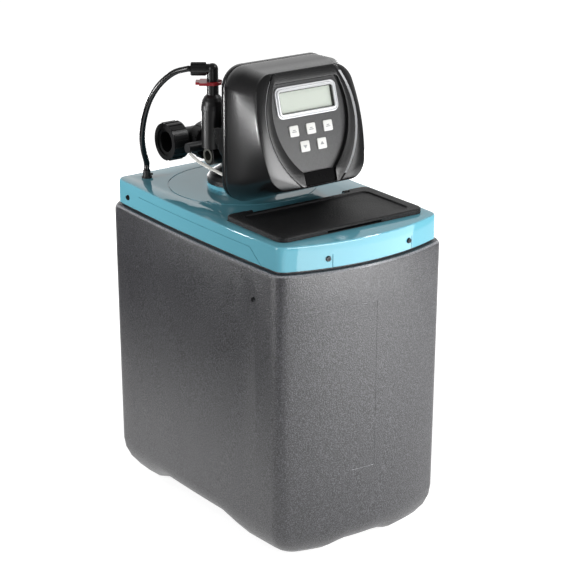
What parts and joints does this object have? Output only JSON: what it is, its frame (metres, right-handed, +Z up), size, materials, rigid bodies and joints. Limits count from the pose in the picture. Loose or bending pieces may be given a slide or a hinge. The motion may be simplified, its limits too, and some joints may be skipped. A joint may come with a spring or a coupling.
{
  "type": "water softener",
  "caption": "Compact cabinet water softener: resin vessel in a textured salt cabinet with a hinged salt lid, a glossy cover and a control valve with a keypad head.",
  "frame": {"origin": "on the floor below the middle of the cabinet", "axes": "+Z up, the control head faces -Y, +X to the right seen from the front"},
  "size_m": [0.323, 0.503, 0.729],
  "materials": {
    "cabinet_plastic": "charcoal polyethylene with a fine pebble texture",
    "cover_plastic": "smooth glossy pale teal",
    "lid_plastic": "black with a fine moulded grain",
    "screw_black": "blackened steel",
    "steel": "plain turned steel",
    "vessel_skin": "wound and resin-coated blue",
    "dark_plastic": "plain dark moulded plastic",
    "resin_beads": "amber beads",
    "white_plastic": "plain off-white moulded plastic",
    "valve_plastic": "satin black glass-filled plastic",
    "seal_rubber": "matt black",
    "drain_white": "pale satin",
    "clip_red": "satin red",
    "tube_black": "satin black polyethylene",
    "ribbon_white": "white flat cable",
    "float_yellow": "plain yellow foam skin",
    "head_plastic": "glossy black",
    "motor_metal": "zinc-plated",
    "pinion_brass": "turned brass",
    "board_green": "solder-masked board",
    "display_green": "grey-green liquid-crystal panel",
    "window_clear": "clear polished window",
    "bright_trim": "silver paint",
    "button_white": "white satin"
  },
  "bodies": {
    "cabinet": {"cabinet_tank": "cabinet_plastic", "top_cover": "cover_plastic", "cover_screws": "screw_black", "well_screw": "screw_black", "hinge_pins": "steel", "vessel_shell": "vessel_skin", "vessel_boot": "dark_plastic", "resin_bed": "resin_beads", "riser_tube": "white_plastic", "lower_strainer": "white_plastic", "upper_strainer": "white_plastic", "valve_body": "valve_plastic", "seal_rings": "seal_rubber", "injector_nozzle": "white_plastic", "drain_sleeve": "drain_white", "refill_elbow": "valve_plastic", "elbow_clip": "clip_red", "elbow_nut": "valve_plastic", "brine_tube": "tube_black", "tube_grommet": "seal_rubber", "outlet_nut": "valve_plastic", "inlet_nut": "valve_plastic", "outlet_elbow": "valve_plastic", "inlet_elbow": "valve_plastic", "outlet_union": "valve_plastic", "inlet_union": "valve_plastic", "port_gaskets": "seal_rubber", "turbine_shaft": "steel", "meter_sensor": "dark_plastic", "meter_cable": "ribbon_white", "brine_well": "white_plastic", "well_cap": "dark_plastic", "brine_valve": "dark_plastic", "pickup_tube": "white_plastic", "air_check": "dark_plastic", "back_plate": "head_plastic", "drive_bracket": "dark_plastic", "gear_cover": "dark_plastic", "drive_motor": "motor_metal", "circuit_board": "board_green", "display_module": "display_green", "display_window": "window_clear", "display_frame": "bright_trim", "front_shell": "head_plastic", "trim_arcs": "bright_trim", "name_plate": "head_plastic", "tact_switches": "motor_metal"},
    "lid": {"salt_lid": "lid_plastic"},
    "piston": {"main_piston": "white_plastic"},
    "drive_wheel": {"drive_gear": "white_plastic"},
    "idler_wheel": {"reduction_gear": "white_plastic"},
    "pinion": {"motor_pinion": "pinion_brass"},
    "turbine": {"meter_turbine": "white_plastic"},
    "float": {"float_rod": "steel", "brine_float": "float_yellow"},
    "left_key": {"button_left": "button_white"},
    "middle_key": {"button_middle": "button_white"},
    "right_key": {"button_right": "button_white"},
    "down_key": {"button_down": "button_white"},
    "up_key": {"button_up": "button_white"}
  },
  "joints": [
    {"name": "lid_hinge", "type": "hinge", "parent": "cabinet", "child": "lid", "pos_m": [0, -0.058, 0.5134], "axis": [-1, 0, 0], "range_deg": [0, 30]},
    {"name": "drive_spin", "type": "hinge", "parent": "cabinet", "child": "drive_wheel", "pos_m": [0, -0.017, 0.592], "axis": [0, 1, 0], "range_deg": [0, 1080]},
    {"name": "idler_spin", "type": "hinge", "parent": "cabinet", "child": "idler_wheel", "pos_m": [0.0275, -0.017, 0.63963], "axis": [0, 1, 0], "range_deg": [-1296, 0]},
    {"name": "pinion_spin", "type": "hinge", "parent": "cabinet", "child": "pinion", "pos_m": [0.00069, -0.017, 0.66213], "axis": [0, 1, 0], "range_deg": [0, 3240]},
    {"name": "piston_slide", "type": "slide", "parent": "cabinet", "child": "piston", "axis": [0, 1, 0], "range_m": [0, 0.036]},
    {"name": "turbine_spin", "type": "hinge", "parent": "cabinet", "child": "turbine", "pos_m": [-0.036, 0.115, 0.576], "axis": [0, 1, 0], "continuous": true},
    {"name": "float_slide", "type": "slide", "parent": "cabinet", "child": "float", "axis": [0, 0, 1], "range_m": [0, 0.02]},
    {"name": "left_press", "type": "slide", "parent": "cabinet", "child": "left_key", "axis": [0, 0.9622, -0.2723], "range_m": [0, 0.0012], "stiffness_N_per_m": 400},
    {"name": "middle_press", "type": "slide", "parent": "cabinet", "child": "middle_key", "axis": [0, 0.9622, -0.2723], "range_m": [0, 0.0012], "stiffness_N_per_m": 400},
    {"name": "right_press", "type": "slide", "parent": "cabinet", "child": "right_key", "axis": [0, 0.9622, -0.2723], "range_m": [0, 0.0012], "stiffness_N_per_m": 400},
    {"name": "down_press", "type": "slide", "parent": "cabinet", "child": "down_key", "axis": [0, 0.9622, -0.2723], "range_m": [0, 0.0012], "stiffness_N_per_m": 400},
    {"name": "up_press", "type": "slide", "parent": "cabinet", "child": "up_key", "axis": [0, 0.9622, -0.2723], "range_m": [0, 0.0012], "stiffness_N_per_m": 400}
  ],
  "couplings": [
    {"joint": "idler_spin", "follows": "drive_spin", "ratio": -1.2},
    {"joint": "pinion_spin", "follows": "drive_spin", "ratio": 3},
    {"joint": "piston_slide", "follows": "drive_spin", "m_per_rad": 0.0019099}
  ]
}
